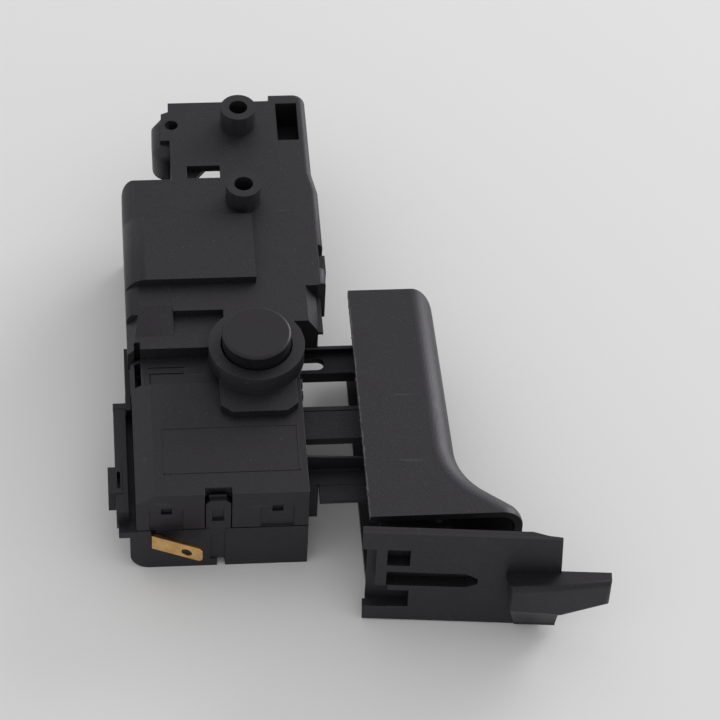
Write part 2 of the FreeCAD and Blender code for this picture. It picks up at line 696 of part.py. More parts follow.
def trigger_shell():
    outer = prism("trigger_outer", "XY", [
        ("trigger_left", "trigger_back"), ("finger_back", "trigger_back"), ("finger_front", "flare_start"),
        ("flare_reach", FLARE_END), ("flare_reach", "trigger_front"), ("trigger_left", "trigger_front"),
    ], ("trigger_low", "trigger_high"))
    back = value("trigger_back")
    front = value("trigger_front")
    flare = value("flare_start")
    reach = value("flare_reach")
    left = value("trigger_left")
    middle_z = (value("trigger_low") + value("trigger_high")) / 2

    def upright(middle):
        return abs(middle.z - middle_z) < 0.01

    soften(outer, "flare_round", lambda m: upright(m) and abs(m.y - flare) < 0.01)
    soften(outer, "flare_tip_round", lambda m: upright(m) and m.x > reach - 0.01 and m.y > front + 0.01)
    soften(outer, "finger_round", lambda m: not upright(m) and m.x > left + 0.01
           and front + 0.01 < m.y < back - 0.01)
    corner = cut("trigger_corner",
                 box("corner_block", ("finger_back - corner_round", "finger_front"),
                     ("trigger_back - corner_round", f"trigger_back + {THROUGH}"),
                     (f"trigger_low - {THROUGH}", f"trigger_high + {THROUGH}")),
                 rod("corner_rod", ("finger_back - corner_round", "trigger_back - corner_round"), "corner_round",
                     (f"trigger_low - {THROUGH * 2}", f"trigger_high + {THROUGH * 2}")))

    inset = f"(trigger_wall * (sqrt(1 + {FLARE_SLOPE} ^ 2) - {FLARE_SLOPE}))"
    inner = prism("trigger_inner", "XY", [
        (f"trigger_left - {THROUGH}", "trigger_back - trigger_wall"),
        ("finger_back - trigger_wall", "trigger_back - trigger_wall"),
        ("finger_front - trigger_wall", f"flare_start - {inset}"),
        ("flare_reach - trigger_wall", f"{FLARE_END} - {inset}"),
        ("flare_reach - trigger_wall", f"trigger_front - {THROUGH * 3}"),
        (f"trigger_left - {THROUGH}", f"trigger_front - {THROUGH * 3}"),
    ], ("trigger_low + trigger_wall", "trigger_high - trigger_wall"))
    inner_back = back - value("trigger_wall")
    soften(inner, "corner_round - trigger_wall",
           lambda m: upright(m) and m.y > inner_back - 0.01 and m.x > left)
    soften(inner, "finger_round - trigger_wall", lambda m: not upright(m) and m.x > left
           and front - 1 < m.y < inner_back - 0.01)
    setback = box("trigger_setback", (f"trigger_left - {THROUGH}", "trigger_left + rear_wall_setback"),
                  (f"trigger_back - trigger_wall - {THROUGH}", f"trigger_back + {THROUGH}"),
                  ("trigger_low + trigger_wall", "trigger_high - trigger_wall"))
    shell = cut("trigger_hollowed", outer, corner, inner, setback)
    arm_boss = box("arm_boss", ("arm_end", "finger_back - 1"), ("arm_front + 1", f"{ARM_BACK} - 1"),
                   (f"{ARM_LOW} - 1.5", "arm_top + 1.5"))
    guide_boss = box("guide_boss", ("arm_end", "finger_back - 1"),
                     ("guide_front + 1", "guide_front + guide_width - 1"), (f"{GUIDE_LOW} - 1", "guide_top + 1"))
    return fuse("trigger_joined", shell, arm_boss, guide_boss)


def common(name, first, second):
    item = doc.addObject("Part::Common", name)
    item.Base = first
    item.Tool = second
    return item


def end_shield():
    """Modelled along its own X, with its front face at Y 0, then turned and moved to its place."""
    outline = prism("shield_outline", "XZ", [
        ("0 - shield_lean / 10", "shield_low"), ("shield_length - 3", "shield_low"),
        ("shield_length", "shield_low + 1.7"), ("shield_length + shield_lean / 10", "nose_top"),
        ("shield_length - shield_lean / 2", "shield_top"), ("0 - shield_lean", "shield_top"),
    ], (f"0 - {THROUGH}", f"shield_thick + {THROUGH}"))
    plan = prism("shield_plan", "XY", [
        ("0 - 2 * shield_lean", "shield_thick - shield_thick"),
        ("shield_length + shield_lean", "shield_thick - shield_thick"),
        ("shield_length + shield_lean", "shield_edge"), ("shield_length - shield_taper / 2", "shield_thick / 2"),
        ("shield_length - shield_taper", "shield_thick"), ("0 - 2 * shield_lean", "shield_thick"),
    ], (f"shield_low - {THROUGH}", f"shield_top + {THROUGH}"))
    block = box("shield_block", ("0.4", "block_length"), ("shield_thick - 0.5", "block_depth"),
                ("block_base", "block_top"))
    plug = box("shield_plug", ("3", "3 + plug_length"), ("block_depth - 0.5", "plug_depth"),
               ("trigger_low + trigger_wall", "plug_top"))

    nose_outline = prism("nose_outline", "XZ", [
        ("nose_foot", "nose_low"), ("shield_length", "nose_low"), ("shield_length", "nose_step_low"),
        ("nose_end", "nose_tip_low"), ("nose_end", "nose_tip_top"), ("nose_start", "nose_top"),
    ], (f"0 - nose_depth - {THROUGH}", "shield_thick"))
    nose_plan = prism("nose_plan", "XY", [
        ("nose_start - 1", "0.5"), ("nose_start + 1.4", "0 - nose_depth"), ("nose_knee", "0.6 - nose_depth"),
        ("nose_end", "0 - nose_tip_depth"), ("nose_end", "0.3"), ("shield_length", "0.5"),
    ], (f"nose_low - {THROUGH}", f"nose_tip_top + {THROUGH}"))
    under = prism("nose_under", "YZ", [
        ("0 - nose_depth - 2", "nose_low - 2"), ("0 - nose_lip_depth", "nose_low - 2"),
        ("0 - nose_lip_depth", "nose_lip"), ("0 - nose_depth", "nose_face_low"),
        ("0 - nose_depth - 2", "nose_face_low"),
    ], ("nose_start - 2", "nose_end + 1"))
    nose = cut("nose_cut", common("nose", nose_outline, nose_plan), under)
    doc.recompute()
    ahead = value("nose_tip_depth") - 0.1
    picked = [number for number, edge in enumerate(nose.Shape.Edges, start=1)
              if edge.CenterOfMass.y < -ahead and edge.CenterOfMass.x > value("nose_start") + 2.5]
    smooth = doc.addObject("Part::Fillet", "nose_smooth")
    smooth.Base = nose
    smooth.Edges = [(number, value("nose_round"), value("nose_round")) for number in picked]
    body = fuse("shield_joined", common("plate", outline, plan), block, plug, smooth)
    depth = ("0 - 1", "pocket_depth")
    pockets = [
        box("shield_window", ("0 - 3", "2.3"), depth, ("12.9", "block_top - 0.3")),
        box("shield_corner", ("0 - 3", "5.2"), depth, ("block_base + 1.7", "13")),
        box("shield_slot_low", ("5.1", "10"), depth, ("block_base + 1.9", "block_base + 7.8")),
        box("shield_slot_high", ("4.7", "9.8"), depth, ("block_top - 5.8", "block_top - 0.3")),
        prism("shield_arrow", "XZ", [
            ("4.8", "13.1"), ("22.7", "13.2"), ("25.1", "14.5"), ("25.1", "16.3"), ("22.5", "17.9"), ("4.8", "17.9"),
        ], depth),
    ]
    done = cut("shield", body, *pockets)
    turn = App.Rotation(App.Vector(0, 0, 1), -value("shield_slant"))
    done.Placement = App.Placement(App.Vector(value("shield_x"), value("shield_y"), 0), turn)
    return done


def side_bracket():
    upright_right = "(upright_left + upright_thick)"
    shelf = box("shelf", (f"{CASE_LEFT} - shelf_reach", CASE_LEFT), ("case_front - 0.2", "upright_back"),
                (SHELF_LOW, "parting"))
    upright = box("upright", ("upright_left", upright_right), ("upright_front", "upright_back"),
                  (SHELF_LOW, "upright_top"))
    tongue_left = f"({CASE_LEFT} - 0.15 - tongue_thick)"
    rear_tongue = box("rear_tongue", (tongue_left, f"{tongue_left} + tongue_thick"),
                      ("upright_back - 2", "tongue_back"), (SHELF_LOW, "upright_top"))
    clip = box("bracket_clip", ("clip_left", "clip_left + clip_width"), ("clip_front", "clip_front + clip_length"),
               ("clip_low", "upright_top + 0.2"))
    slot = box("bracket_slot", ("clip_left + 2.1", "clip_left + 2.1 + clip_slot"),
               ("clip_front + 1.5", "clip_front + clip_length - 1.4"), ("upright_top - 2", "upright_top + 1"))
    return cut("bracket", fuse("bracket_joined", shelf, upright, rear_tongue, clip), slot)


def cover():
    plan = prism("cover_plan", "XY", [
        ("cover_left", "cover_front"), ("0 - 0.5", "cover_front"), ("0 - 0.5", "shoulder_front"),
        ("shoulder_right", "shoulder_front"), ("shoulder_right + 0.5", "shoulder_back"),
        ("wide_right", "shoulder_back + 1"), ("wide_right", "wide_back - 5"),
        ("narrow_right + 0.1", "wide_back + 1.5"), ("narrow_right", "narrow_back + back_step"),
        ("well_left - 1.5", "narrow_back + back_step"), ("well_left - 1.5", "narrow_back"),
        ("narrow_left", "narrow_back"), ("narrow_left", "ear_front + ear_length + 0.8"),
        ("narrow_left - ear_reach + 0.5", "ear_front + ear_length"),
        ("narrow_left - ear_reach", "ear_front"), ("narrow_left", "ear_front"),
        ("narrow_left", "wide_back"), ("cover_left", "wide_back"),
    ], ("cover_low", "cover_top"))
    top = value("cover_top")
    left = value("cover_left")
    back = value("wide_back")
    far = value("narrow_back") + value("back_step")
    right = value("narrow_right")
    middle_z = (value("cover_top") + value("cover_low")) / 2

    def back_corner(m):
        if abs(m.z - middle_z) > 0.01:
            return False
        near_left = m.x < left + 0.01 and m.y > back - 0.01
        return near_left or (m.y > far - 0.01 and m.x > right - 0.01)

    soften(plan, "cover_round", back_corner)
    shoulder = value("shoulder_back")
    soften(plan, "cover_edge_round", lambda m: m.z > top - 0.01 and m.x > right - 0.6 and m.y > shoulder + 1.2)
    profile = prism("cover_profile", "XZ", [
        ("cover_left", "cover_low"), (f"wide_right + {THROUGH}", "cover_low"),
        (f"wide_right + {THROUGH}", "cover_top"), ("cover_left", "cover_top"),
    ], (f"cover_front - {THROUGH}", f"narrow_back + back_step + {THROUGH}"))
    soften(profile, "cover_round", lambda m: m.z > top - 0.01 and m.x < left + 0.01)
    shell = common("cover_shell", plan, profile)

    pad = prism("cover_pad", "XZ", [
        ("cover_left", "cover_low + 5"), ("pad_right", "cover_low + 5"),
        ("pad_right", "cover_top + pad_rise"), ("cover_left", "cover_top + pad_rise"),
    ], ("pad_front", "pad_front + pad_length"))
    soften(pad, "pad_round", lambda m: m.z > top + 0.5 and m.x < left + 0.01)
    lobe = prism("cover_lobe", "XY", [
        ("narrow_left + lobe_reach", "lobe_front"), ("narrow_left - lobe_reach", "lobe_front"),
        ("narrow_left - lobe_reach", "lobe_back - lobe_slant"), ("narrow_left - ear_reach + 0.3", "lobe_back"),
        ("narrow_left + lobe_reach", "lobe_back"),
    ], ("cover_low", "lobe_top"))
    lobe_left = value("narrow_left") - value("lobe_reach")
    lobe_front = value("lobe_front")
    lobe_back = value("lobe_back")
    soften(lobe, "lobe_corner_round", lambda m: m.x < lobe_left + 0.01 and m.y < lobe_front + 0.01)
    soften(lobe, "lobe_round", lambda m: m.z > value("lobe_top") - 0.01
           and m.x < lobe_left + value("lobe_round") / 2 and m.y < lobe_back - value("lobe_slant") / 3)
    skirt = prism("cover_skirt", "YZ", [
        ("shoulder_front + 0.2", "cover_low + skirt_rise - 0.8"), ("shoulder_front + 5", "cover_low + skirt_rise - 3"),
        ("skirt_back", "cover_low"), ("skirt_back", "cover_low + skirt_rise"),
        ("shoulder_front + 0.2", "cover_low + skirt_rise"),
    ], ("shoulder_right - 1.6", "trigger_left - trigger_travel - slide_gap"))
    hook = box("cover_hook", ("wide_right - 2", "wide_right + hook_reach"),
               ("hook_front", "hook_front + hook_length"), ("cover_low", "cover_low + hook_rise"))
    foot = box("cover_corner_foot", ("shoulder_right + 0.5", "wide_right"),
               ("shoulder_back + 1", "shoulder_back + 1 + corner_foot_depth"),
               ("cover_low - corner_foot_drop", "cover_low + 1"))
    posts = [rod(f"post_{name}", ("post_x", y), "post_radius", ("cover_low", "cover_top + post_rise"))
             for name, y in (("near", "near_post"), ("far", "far_post"))]

    wall_left = "(cover_left + cover_wall)"
    low = f"cover_low - {THROUGH}"
    hollows = [
        box("wide_hollow", (wall_left, "wide_right - cover_wall - 2"), ("seat_back + 2", "wide_back - cover_wall"),
            (low, COVER_UNDER)),
        box("seat_hollow", (wall_left, "shoulder_right - cover_wall - shoulder_bevel"),
            ("shoulder_front + cover_wall", "seat_back + 3"), (low, f"{COVER_UNDER} - seat_depth")),
        box("corner_hollow", (f"{CASE_LEFT} + bevel_width", "0 - ring_radius - ring_gap - cover_wall"),
            (f"{HOUSING_FRONT} + cover_wall", "seat_back"), (low, f"{COVER_UNDER} - seat_depth")),
        box("narrow_hollow", ("narrow_left + cover_wall", "well_left - cover_wall"),
            ("wide_back + cover_wall", "narrow_back - cover_wall"), (low, COVER_UNDER)),
        box("case_relief", ("cover_left - 1", "case_right + housing_gap"), ("cover_front - 1", HOUSING_FRONT),
            (low, f"{REAR_TOP} + 0.05")),
        box("right_notch", ("wide_right - notch_depth", f"wide_right + {THROUGH}"),
            ("notch_front", "notch_front + notch_length"), (low, "cover_top + 1")),
        box("window", ("window_left", "window_left + window_width"),
            ("wide_back + 0.2", "wide_back + 0.2 + window_length"), (low, "cover_top + 1")),
        box("well", ("well_left", "well_left + well_width"), ("well_front", "well_front + well_length"),
            ("well_floor", "cover_top + 1")),
        box("seat", ("seat_left", "seat_right"), ("cover_front - 1", "seat_back"),
            ("cover_top - seat_depth", "cover_top + 1")),
        prism("seat_ramp", "YZ", [
            ("cover_front - 1", "cover_top - seat_depth"), ("seat_back - 6", "cover_top - seat_depth"),
            ("seat_back + 2", "cover_top + 0.05"), ("seat_back + 2", "cover_top + 1"),
            ("cover_front - 1", "cover_top + 1"),
        ], ("cover_left - 1", "seat_left + 0.05")),
        prism("seat_edge", "XZ", [
            ("cover_left - 0.05", "cover_top - seat_depth - seat_chamfer"), ("cover_left - 1", "cover_top + 1"),
            ("cover_left + seat_chamfer * 2", "cover_top + 1"),
            ("cover_left + seat_chamfer", "cover_top - seat_depth + 0.05"),
        ], ("cover_front - 1", "seat_back - 0.5")),
        prism("shoulder_cut", "XZ", [
            ("shoulder_right - shoulder_bevel", "cover_top + 0.05"), ("shoulder_right + 2", "cover_top + 0.05"),
            ("shoulder_right + 2", "cover_top - 4.2"), ("shoulder_right + 0.2", "cover_top - 4.2"),
        ], ("shoulder_front - 1", "shoulder_back")),
        box("corner_notch", ("cover_left + 1.5", "cover_left + 2.9"), ("cover_front - 1", "cover_front + 2.1"),
            ("cover_low - 1", "cover_top")),
        rod("ring_hole", ("0", "0 - 0"), "ring_radius + ring_gap", (low, "cover_top + 1")),
        rod("ear_hole_cut", ("narrow_left + 0.6", "ear_front + ear_length - 3.8"), "ear_hole",
            ("cover_top - 6", "cover_top + 1")),
    ]
    hollow = cut("cover_hollowed", fuse("cover_joined", shell, pad, lobe, skirt, foot), *hollows)
    bores = [rod(f"bore_{name}", ("post_x", y), "post_bore", (low, "cover_top + post_rise + 1"))
             for name, y in (("near", "near_post"), ("far", "far_post"))]
    return cut("cover_done", fuse("cover_posts", hollow, hook, *posts), *bores)


def rear_housing():
    shell = box("housing_shell", (CASE_LEFT, "case_right"), (HOUSING_FRONT, "wide_back"),
                ("0", "cover_low"))
    hollow = box("housing_hollow", (f"{CASE_LEFT} + cover_wall", "case_right - cover_wall"),
                 (f"{HOUSING_FRONT} + cover_wall", "wide_back - cover_wall"),
                 ("floor_thick", f"cover_low + {THROUGH}"))
    window = box("housing_window", ("case_right - cover_wall - 1", "case_right + 1"),
                 ("guide_front - slide_gap", "guide_front + guide_width + slide_gap"),
                 (f"{GUIDE_LOW} - slide_gap", "guide_top + slide_gap"))
    bed = box("guide_bed", ("guide_start - 7", "case_right - cover_wall / 2"),
              ("guide_front + 0.8", "guide_front + guide_width - 0.8"), ("floor_thick - 0.5", f"{GUIDE_LOW} - bed_gap"))
    tube = rod("housing_tube", ("post_x", "near_post"), "post_radius", ("0.5", "cover_low"))
    bore = rod("housing_bore", ("post_x", "near_post"), "post_bore", ("0 - 1", f"cover_low + {THROUGH}"))
    open_box = cut("housing_open", shell, hollow, window)
    return cut("housing", fuse("housing_joined", open_box, bed, tube), bore)


def lock_housing():
    half = "base_plate_half"
    plate = prism("lock_plate", "XY", [
        (f"0 - {half}", "base_plate_back"), (f"0 - {half}", "base_plate_front + 2.1"),
        (f"0 - {half} + base_plate_clip", "base_plate_front"), (f"{half} - base_plate_clip", "base_plate_front"),
        (half, "base_plate_front + 2.1"), (half, "base_plate_back"),
    ], ("case_height", PLATE_TOP))
    ring_top = f"{PLATE_TOP} + ring_height"
    ring = rod("lock_ring", ("0", "0 - 0"), "ring_radius", (PLATE_TOP, ring_top))
    bore = rod("lock_bore", ("0", "0 - 0"), "button_radius + ring_gap", (PLATE_TOP, f"{ring_top} + 1"))
    hole = rod("lock_pin_hole", ("0", PIN_MID), "pin_radius + slide_gap",
               (f"case_height - {THROUGH}", f"{PLATE_TOP} + 1"))
    return cut("lock_body", fuse("lock_joined", plate, ring), bore, hole)


def lock_button():
    cap = disc("button_cap", ("0", "0 - 0"), "button_radius", (BUTTON_LOW, "button_top"), "button_round")
    well = rod("button_well", ("0", "0 - 0"), "button_radius - button_wall", (f"{BUTTON_LOW} - 1", BUTTON_INSIDE))
    return cut("button", cap, well)


def disc(name, centre, radius, span, rim):
    """A round body whose top rim is rounded."""
    body = doc.addObject("PartDesign::Body", name)
    sketch = body.newObject("Sketcher::SketchObject", f"{name}_outline")
    support = [face for face in body.Origin.OriginFeatures if face.Role == "XY_Plane"][0]
    sketch.AttachmentSupport = (support, [""])
    sketch.MapMode = "FlatFace"
    for axis, place in zip("xyz", (*centre, span[0])):
        link(sketch, f"AttachmentOffset.Base.{axis}", place)
    reach = value("button_radius")
    sketch.addGeometry(Part.Circle(App.Vector(), App.Vector(0, 0, 1), reach), False)
    sketch.addConstraint(Sketcher.Constraint("Coincident", 0, 3, -1, 1))
    number = sketch.addConstraint(Sketcher.Constraint("Radius", 0, reach))
    link(sketch, f"Constraints[{number}]", radius)
    pad = body.newObject("PartDesign::Pad", f"{name}_pad")
    pad.Profile = sketch
    link(pad, "Length", f"({span[1]}) - ({span[0]})")
    doc.recompute()
    top = pad.Shape.BoundBox.ZMax
    soften(body, rim, lambda m: m.z > top - 0.01)
    return body


def lock_pin():
    return rod("pin", ("0", PIN_MID), "pin_radius", ("pin_low", BUTTON_INSIDE))


def lock_spring():
    item = coil("lock_coil", "lock_coil_radius", "lock_coil_wire", "lock_coil_turns",
                f"{BUTTON_INSIDE} - {PLATE_TOP}")
    link(item, "Placement.Base.z", f"{PLATE_TOP} + lock_coil_wire / 2")
    return item


def suppressor_capacitor():
    return box("capacitor", ("capacitor_left", "capacitor_left + capacitor_width"),
               ("capacitor_front", "capacitor_front + capacitor_length"),
               ("floor_thick", "floor_thick + capacitor_height"))


def capacitor_leads():
    leads = []
    for number, side in enumerate(("-", "+")):
        x = f"capacitor_left + capacitor_width / 2 {side} lead_spacing / 2"
        leads.append(rod(f"lead_{number}", (x, "floor_thick + capacitor_height / 3"), "lead_radius",
                         ("capacitor_front - lead_length", "capacitor_front"), "y"))
    group = doc.addObject("Part::Compound", "leads")
    group.Links = leads
    return group


NODES = {
    "case_top": case_top(),
    "case_base": case_base(),
    "front_terminal": front_terminal(),
    "front_load_contact": screw_contact("front_load", "load_left", "load_length", "front_pole", 1),
    "rear_line_contact": screw_contact("rear_line", "line_left", "line_length", "rear_pole", -1),
    "rear_load_contact": screw_contact("rear_load", "load_left", "load_length", "rear_pole", 1),
    "terminal_screws": terminal_screws(),
    "plunger": plunger(),
    "front_contact_bridge": contact_bridge("bridge_front", "front_pole"),
    "rear_contact_bridge": contact_bridge("bridge_rear", "rear_pole"),
    "contact_springs": contact_springs(),
    "return_spring": return_spring(),
    "lower_guide_rail": lower_guide_rail(),
    "upper_guide_arm": upper_guide_arm(),
    "trigger_shell": trigger_shell(),
    "end_shield": end_shield(),
    "side_bracket": side_bracket(),
    "mounting_cover": cover(),
    "rear_housing": rear_housing(),
    "lock_housing": lock_housing(),
    "lock_button": lock_button(),
    "lock_pin": lock_pin(),
    "lock_spring": lock_spring(),
    "suppressor_capacitor": suppressor_capacitor(),
    "capacitor_leads": capacitor_leads(),
}
for label, item in NODES.items():
    item.Label = label
doc.recompute()

for item in doc.Objects:
    if "Invalid" in item.State or "Error" in item.State:
        raise RuntimeError(f"{item.Name} failed: {item.State}")
for label, item in NODES.items():
    if item.Shape.isNull() or not item.Shape.isValid() or item.Shape.Volume <= 0:
        raise RuntimeError(f"{label} has no valid shape")

os.makedirs("parts", exist_ok=True)
for label, item in NODES.items():
    item.Shape.exportStep(f"parts/{label}.step")
    bounds = item.Shape.BoundBox
    print(f"{label:24s} {len(item.Shape.Solids)} solid {item.Shape.Volume:9.1f} mm3",
          f"x {bounds.XMin:6.1f} {bounds.XMax:6.1f} y {bounds.YMin:6.1f} {bounds.YMax:6.1f}",
          f"z {bounds.ZMin:6.1f} {bounds.ZMax:6.1f}")
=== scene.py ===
import json
import math
import random

import bmesh
import bpy
from mathutils import Matrix, Vector


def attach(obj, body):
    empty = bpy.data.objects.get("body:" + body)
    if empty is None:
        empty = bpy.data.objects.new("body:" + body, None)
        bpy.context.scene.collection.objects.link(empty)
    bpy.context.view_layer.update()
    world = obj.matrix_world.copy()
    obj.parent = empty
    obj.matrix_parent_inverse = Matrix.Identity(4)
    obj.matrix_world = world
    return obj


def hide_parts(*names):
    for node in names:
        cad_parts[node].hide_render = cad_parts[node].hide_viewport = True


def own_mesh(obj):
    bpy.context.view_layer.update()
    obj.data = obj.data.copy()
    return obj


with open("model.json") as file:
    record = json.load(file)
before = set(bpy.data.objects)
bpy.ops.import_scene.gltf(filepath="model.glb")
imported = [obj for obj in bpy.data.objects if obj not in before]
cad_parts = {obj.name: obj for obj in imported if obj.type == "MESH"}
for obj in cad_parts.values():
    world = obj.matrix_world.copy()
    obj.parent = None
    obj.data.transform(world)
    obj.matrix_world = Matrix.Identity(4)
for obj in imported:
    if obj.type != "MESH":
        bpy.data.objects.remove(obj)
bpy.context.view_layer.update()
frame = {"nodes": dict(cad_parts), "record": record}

NODES = frame["nodes"]
MM = 0.001

# places in millimetres, in the frame of the solids
CASE_LEFT, CASE_RIGHT = -28.8, 9.9
CASE_FRONT, CASE_REAR = -38.4, 3.5
CASE_TOP = 25.5
TRIGGER_LEFT, TRIGGER_TOP = 22.4, 28.0
SHIELD_CORNER = (21.2, -55.2)
SHIELD_SLANT = math.radians(5.0)
SHIELD_TOP = 31.4
HOUSING_BACK = 55.2


# ---------------------------------------------------------------- material trees
class Tree:
    """Short words for building a material's node tree."""

    def __init__(self, name):
        self.material = bpy.data.materials.new(name)
        self.material.use_nodes = True
        self.nodes = self.material.node_tree.nodes
        self.links = self.material.node_tree.links
        self.shader = self.nodes["Principled BSDF"]
        self.place = self.add("ShaderNodeTexCoord").outputs["Object"]

    def add(self, kind, **settings):
        node = self.nodes.new(kind)
        for key, value in settings.items():
            setattr(node, key, value)
        return node

    def join(self, source, target):
        if isinstance(source, bpy.types.NodeSocket):
            self.links.new(source, target)
        else:
            target.default_value = source
        return target

    def noise(self, scale, detail=2.0, roughness=0.5, place=None):
        node = self.add("ShaderNodeTexNoise")
        self.join(place or self.place, node.inputs["Vector"])
        node.inputs["Scale"].default_value = scale
        node.inputs["Detail"].default_value = detail
        node.inputs["Roughness"].default_value = roughness
        return node.outputs["Fac"]

    def cells(self, scale, place=None):
        """Distance to the nearest scattered point, in the texture's own units."""
        node = self.add("ShaderNodeTexVoronoi")
        self.join(place or self.place, node.inputs["Vector"])
        node.inputs["Scale"].default_value = scale
        return node.outputs["Distance"], node.outputs["Color"]

    def ramp(self, source, low, high, start=0.0, end=1.0):
        node = self.add("ShaderNodeMapRange")
        node.clamp = True
        self.join(source, node.inputs["Value"])
        for key, value in (("From Min", low), ("From Max", high), ("To Min", start), ("To Max", end)):
            node.inputs[key].default_value = value
        return node.outputs["Result"]

    def mix(self, share, first, second):
        node = self.add("ShaderNodeMix", data_type="RGBA")
        self.join(share, node.inputs["Factor"])
        self.join(first, node.inputs["A"])
        self.join(second, node.inputs["B"])
        return node.outputs["Result"]

    def math(self, operation, first, second=0.0):
        node = self.add("ShaderNodeMath", operation=operation)
        self.join(first, node.inputs[0])
        self.join(second, node.inputs[1])
        return node.outputs[0]

    def axes(self, source=None):
        node = self.add("ShaderNodeSeparateXYZ")
        self.join(source or self.place, node.inputs[0])
        return node.outputs

    def turned(self, corner, angle, stretch=(1, 1, 1)):
        """Object coordinates measured from a corner, along a turned X axis."""
        node = self.add("ShaderNodeMapping", vector_type="TEXTURE")
        self.join(self.place, node.inputs["Vector"])
        node.inputs["Location"].default_value = (*[c * MM for c in corner], 0)
        node.inputs["Rotation"].default_value = (0, 0, angle)
        node.inputs["Scale"].default_value = stretch
        return node.outputs["Vector"]

    def bump(self, height, strength, distance, normal=None):
        node = self.add("ShaderNodeBump")
        node.inputs["Strength"].default_value = strength
        node.inputs["Distance"].default_value = distance
        self.join(height, node.inputs["Height"])
        if normal:
            self.join(normal, node.inputs["Normal"])
        return node.outputs["Normal"]


# ---------------------------------------------------------------- finishes
DUST = (0.13, 0.125, 0.12, 1)
SCUFF = (0.05, 0.05, 0.052, 1)


def grey(level, tint=1.04):
    return (level, level * 0.985, level * tint, 1)


def moulded_nylon(name, level, roughness, grain=0.5, dust=1.0, scuffs=1.0, extra=None):
    """Black moulded nylon: spark-eroded grain, dust specks, rubbed patches and a few short scuffs."""
    tree = Tree(name)
    cloud = tree.noise(70, 3, 0.55)
    body = tree.mix(tree.ramp(cloud, 0.3, 0.72), grey(level * 0.9), grey(level * 1.12))
    pepper = tree.ramp(tree.noise(2400, 2, 0.7), 0.52, 0.7)
    body = tree.mix(tree.math("MULTIPLY", pepper, 0.5), body, grey(level * 4.5))

    near, tint = tree.cells(1100)
    kept = tree.ramp(tree.axes(tint)[0], 0.9, 0.92)
    speck = tree.math("MULTIPLY", tree.ramp(near, 0.08, 0.2, 1.0, 0.0), kept)
    body = tree.mix(tree.math("MULTIPLY", speck, dust * 0.5), body, DUST)

    scratched = tree.add("ShaderNodeMapping")
    tree.join(tree.place, scratched.inputs["Vector"])
    scratched.inputs["Rotation"].default_value = (0.2, 0.1, 0.7)
    scratched.inputs["Scale"].default_value = (60, 900, 300)
    streak = tree.ramp(tree.noise(1.0, 1, 0.4, scratched.outputs["Vector"]), 0.71, 0.76)
    patch = tree.ramp(tree.noise(55, 1, 0.5), 0.55, 0.68)
    rubbed = tree.math("MULTIPLY", tree.math("MULTIPLY", streak, patch), scuffs * 0.7)
    body = tree.mix(rubbed, body, SCUFF)
    if extra:
        body = extra(tree, body)
    tree.join(body, tree.shader.inputs["Base Color"])

    shine = tree.ramp(tree.noise(230, 3, 0.6), 0.3, 0.7, roughness - 0.02, roughness + 0.03)
    tree.join(tree.mix(speck, tree.ramp(shine, 0, 1), (0.9, 0.9, 0.9, 1)), tree.shader.inputs["Roughness"])
    tree.shader.inputs["Specular Tint"].default_value = (0.93, 0.87, 1.0, 1)
    normal = tree.bump(tree.noise(3400, 3, 0.7), grain, 0.00010)
    normal = tree.bump(tree.noise(110, 2, 0.5), 0.05, 0.0004, normal)
    tree.join(normal, tree.shader.inputs["Normal"])
    return tree.material


def worn_parting_edge(tree, body):
    """A pale ragged edge where the trigger's two mould halves met, along its left rim."""
    along = tree.axes()
    ragged = tree.ramp(tree.noise(420, 3, 0.7), 0.3, 0.75, 0.0, 0.55 * MM)
    reach = tree.math("SUBTRACT", along[0], TRIGGER_LEFT * MM)
    torn = tree.math("LESS_THAN", reach, ragged)
    high = tree.math("GREATER_THAN", along[2], (TRIGGER_TOP - 0.6) * MM)
    return tree.mix(tree.math("MULTIPLY", tree.math("MULTIPLY", torn, high), 0.6), body, grey(0.10))


def brown_parting_line(tree, body):
    """A wavy brownish line along the top edge of the end shield."""
    place = tree.turned(SHIELD_CORNER, -SHIELD_SLANT)
    along = tree.axes(place)
    sway = tree.ramp(tree.noise(260, 3, 0.6), 0.3, 0.7, 0.75 * MM, 1.45 * MM)
    off = tree.math("ABSOLUTE", tree.math("SUBTRACT", along[1], sway))
    line = tree.ramp(off, 0.10 * MM, 0.28 * MM, 1.0, 0.0)
    high = tree.math("GREATER_THAN", along[2], (SHIELD_TOP - 0.15) * MM)
    return tree.mix(tree.math("MULTIPLY", tree.math("MULTIPLY", line, high), 0.85), body, (0.0035, 0.0022, 0.0016, 1))


def stamped_brass(name):
    """Stamped brass strip: fine rolling lines and a darker, browner upper sheared edge."""
    tree = Tree(name)
    along = tree.axes()
    cloud = tree.noise(420, 3, 0.6)
    body = tree.mix(tree.ramp(cloud, 0.3, 0.72), (0.62, 0.34, 0.115, 1), (0.83, 0.55, 0.25, 1))
    edge = tree.ramp(along[2], 12.45 * MM, 12.6 * MM)
    body = tree.mix(tree.math("MULTIPLY", edge, 0.75), body, (0.20, 0.085, 0.022, 1))
    tree.join(body, tree.shader.inputs["Base Color"])
    tree.shader.inputs["Metallic"].default_value = 1.0
    tree.join(tree.ramp(tree.noise(900, 2, 0.5), 0.3, 0.7, 0.3, 0.46), tree.shader.inputs["Roughness"])
    rolled = tree.add("ShaderNodeMapping")
    tree.join(tree.place, rolled.inputs["Vector"])
    rolled.inputs["Scale"].default_value = (200, 200, 5200)
    normal = tree.bump(tree.noise(1.0, 2, 0.5, rolled.outputs["Vector"]), 0.25, 0.00004)
    tree.join(normal, tree.shader.inputs["Normal"])
    return tree.material


